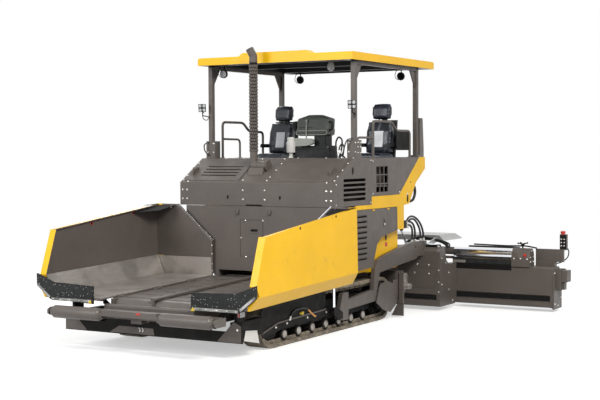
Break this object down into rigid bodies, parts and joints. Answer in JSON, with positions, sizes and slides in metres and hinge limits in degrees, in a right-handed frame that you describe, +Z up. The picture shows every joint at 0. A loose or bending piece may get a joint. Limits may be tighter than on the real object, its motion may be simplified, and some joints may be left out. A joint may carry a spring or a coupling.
{
  "type": "asphalt paver",
  "caption": "Asphalt paver on crawler tracks: folding hopper wings, conveyors, augers, canopied platform, and a floating screed on tow arms with sliding extensions.",
  "frame": {"origin": "centre of the bounding box in plan, on the ground under the tracks", "axes": "+Z up; +Y from the hopper at the front to the screed at the rear; +X to the machine's left side"},
  "size_m": [6.474, 7.0146, 3.9146],
  "materials": {
    "grey_paint": "satin",
    "yellow_paint": "gloss",
    "black_paint": "satin",
    "worn_steel": "worn",
    "chrome_rod": "polished",
    "black_rubber": "matte",
    "track_steel": "dusty",
    "engine_mass": "rough",
    "roof_panel": "gloss",
    "black_plastic": "textured",
    "cushion": "vinyl"
  },
  "bodies": {
    "chassis": {"main_frame": "grey_paint", "engine_block": "engine_mass", "front_skirt": "black_paint", "hopper_lip": "black_paint", "conveyor_left": "grey_paint", "conveyor_right": "grey_paint", "track_left": "track_steel", "track_right": "track_steel", "track_frame_left": "black_paint", "track_frame_right": "black_paint", "engine_hood": "grey_paint", "exhaust_pipe": "black_paint", "side_body_left": "yellow_paint", "side_body_right": "yellow_paint", "side_panel_left": "grey_paint", "side_panel_right": "grey_paint", "operator_platform": "grey_paint", "seat_frame_left": "black_plastic", "seat_frame_right": "black_plastic", "seat_cushion_left": "cushion", "seat_cushion_right": "cushion", "control_console": "black_plastic", "handrail_left": "black_paint", "handrail_right": "black_paint", "canopy_frame_left": "black_paint", "canopy_frame_right": "black_paint", "canopy_roof": "roof_panel", "auger_support": "grey_paint", "levelling_cylinder_left": "black_paint", "levelling_cylinder_right": "black_paint"},
    "push_beam": {"push_beam": "grey_paint"},
    "push_roller_left": {"push_roller_left": "worn_steel"},
    "hopper_wing_left": {"hopper_wing_left": "yellow_paint", "wing_flap_left": "black_rubber"},
    "wing_barrel_left": {"wing_cylinder_barrel_left": "black_paint"},
    "wing_rod_left": {"wing_cylinder_rod_left": "chrome_rod"},
    "hood_lid_left": {"hood_lid_left": "grey_paint"},
    "side_door_left": {"side_door_left": "grey_paint"},
    "auger_left": {"auger_left": "worn_steel"},
    "extension_left": {"screed_extension_left": "grey_paint"},
    "lift_barrel_left": {"lift_cylinder_barrel_left": "black_paint"},
    "lift_rod_left": {"lift_cylinder_rod_left": "chrome_rod"},
    "push_roller_right": {"push_roller_right": "worn_steel"},
    "hopper_wing_right": {"hopper_wing_right": "yellow_paint", "wing_flap_right": "black_rubber"},
    "wing_barrel_right": {"wing_cylinder_barrel_right": "black_paint"},
    "wing_rod_right": {"wing_cylinder_rod_right": "chrome_rod"},
    "hood_lid_right": {"hood_lid_right": "grey_paint"},
    "side_door_right": {"side_door_right": "grey_paint"},
    "auger_right": {"auger_right": "worn_steel"},
    "extension_right": {"screed_extension_right": "grey_paint"},
    "lift_barrel_right": {"lift_cylinder_barrel_right": "black_paint"},
    "lift_rod_right": {"lift_cylinder_rod_right": "chrome_rod"},
    "screed": {"tow_arm_left": "grey_paint", "tow_arm_right": "grey_paint", "screed_main": "grey_paint", "screed_deck": "worn_steel"}
  },
  "joints": [
    {"name": "push_beam_pivot", "type": "hinge", "parent": "chassis", "child": "push_beam", "pos_m": [0, -3.19875, 0.44], "axis": [0, 0, 1], "range_deg": [-6, 6]},
    {"name": "push_roller_left_spin", "type": "hinge", "parent": "push_beam", "child": "push_roller_left", "pos_m": [0.834, -3.42875, 0.48], "axis": [1, 0, 0], "continuous": true},
    {"name": "hopper_wing_left_fold", "type": "hinge", "parent": "chassis", "child": "hopper_wing_left", "pos_m": [0.655, -0.63875, 0.711], "axis": [0, -0.9994, -0.0336], "range_deg": [0, 60]},
    {"name": "wing_cylinder_left_swing", "type": "hinge", "parent": "chassis", "child": "wing_barrel_left", "pos_m": [0.69, -2.71712, 0.32997], "axis": [0, -0.9994, -0.0336], "range_deg": [-1, 34.2]},
    {"name": "wing_cylinder_left_stroke", "type": "slide", "parent": "wing_barrel_left", "child": "wing_rod_left", "axis": [0.7796, -0.021, 0.6259], "range_m": [-0.01, 0.234]},
    {"name": "hood_lid_left_hinge", "type": "hinge", "parent": "chassis", "child": "hood_lid_left", "pos_m": [0.7, -0.10875, 2.3393], "axis": [-1, 0, 0], "range_deg": [0, 60]},
    {"name": "side_door_left_hinge", "type": "hinge", "parent": "chassis", "child": "side_door_left", "pos_m": [1.25, 0.63125, 1.624], "axis": [0, -1, 0], "range_deg": [0, 75]},
    {"name": "auger_left_spin", "type": "hinge", "parent": "chassis", "child": "auger_left", "pos_m": [0.76, 1.88125, 0.4], "axis": [1, 0, 0], "continuous": true},
    {"name": "extension_left_slide", "type": "slide", "parent": "screed", "child": "extension_left", "axis": [1, 0, 0], "range_m": [-1.4, 0]},
    {"name": "lift_cylinder_left_swing", "type": "hinge", "parent": "chassis", "child": "lift_barrel_left", "pos_m": [1.076, 1.55125, 1.6], "axis": [1, 0, 0], "range_deg": [-2.1, 9.9]},
    {"name": "lift_cylinder_left_stroke", "type": "slide", "parent": "lift_barrel_left", "child": "lift_rod_left", "axis": [0, 0.573, -0.8195], "range_m": [-0.304, 0.046]},
    {"name": "push_roller_right_spin", "type": "hinge", "parent": "push_beam", "child": "push_roller_right", "pos_m": [-0.834, -3.42875, 0.48], "axis": [1, 0, 0], "continuous": true},
    {"name": "hopper_wing_right_fold", "type": "hinge", "parent": "chassis", "child": "hopper_wing_right", "pos_m": [-0.655, -0.63875, 0.711], "axis": [0, 0.9994, 0.0336], "range_deg": [0, 60]},
    {"name": "wing_cylinder_right_swing", "type": "hinge", "parent": "chassis", "child": "wing_barrel_right", "pos_m": [-0.69, -2.71712, 0.32997], "axis": [0, 0.9994, 0.0336], "range_deg": [-1, 34.2]},
    {"name": "wing_cylinder_right_stroke", "type": "slide", "parent": "wing_barrel_right", "child": "wing_rod_right", "axis": [-0.7796, -0.021, 0.6259], "range_m": [-0.01, 0.234]},
    {"name": "hood_lid_right_hinge", "type": "hinge", "parent": "chassis", "child": "hood_lid_right", "pos_m": [-0.7, -0.10875, 2.3393], "axis": [-1, 0, 0], "range_deg": [0, 60]},
    {"name": "side_door_right_hinge", "type": "hinge", "parent": "chassis", "child": "side_door_right", "pos_m": [-1.25, 0.63125, 1.624], "axis": [0, 1, 0], "range_deg": [0, 75]},
    {"name": "auger_right_spin", "type": "hinge", "parent": "chassis", "child": "auger_right", "pos_m": [-0.76, 1.88125, 0.4], "axis": [1, 0, 0], "continuous": true},
    {"name": "extension_right_slide", "type": "slide", "parent": "screed", "child": "extension_right", "axis": [-1, 0, 0], "range_m": [-1.4, 0]},
    {"name": "lift_cylinder_right_swing", "type": "hinge", "parent": "chassis", "child": "lift_barrel_right", "pos_m": [-1.076, 1.55125, 1.6], "axis": [1, 0, 0], "range_deg": [-2.1, 9.9]},
    {"name": "lift_cylinder_right_stroke", "type": "slide", "parent": "lift_barrel_right", "child": "lift_rod_right", "axis": [0, 0.573, -0.8195], "range_m": [-0.304, 0.046]},
    {"name": "screed_lift", "type": "hinge", "parent": "chassis", "child": "screed", "pos_m": [0, -0.42775, 0.223], "axis": [1, 0, 0], "range_deg": [-0.85, 7]}
  ],
  "couplings": [
    {"joint": "wing_cylinder_left_swing", "follows": "hopper_wing_left_fold", "ratio": 0.55297},
    {"joint": "wing_cylinder_left_stroke", "follows": "hopper_wing_left_fold", "m_per_rad": 0.21378},
    {"joint": "lift_cylinder_left_swing", "follows": "screed_lift", "ratio": 1.2662},
    {"joint": "lift_cylinder_left_stroke", "follows": "screed_lift", "m_per_rad": -2.404},
    {"joint": "wing_cylinder_right_swing", "follows": "hopper_wing_right_fold", "ratio": 0.55297},
    {"joint": "wing_cylinder_right_stroke", "follows": "hopper_wing_right_fold", "m_per_rad": 0.21378},
    {"joint": "lift_cylinder_right_swing", "follows": "screed_lift", "ratio": 1.2662},
    {"joint": "lift_cylinder_right_stroke", "follows": "screed_lift", "m_per_rad": -2.404}
  ]
}
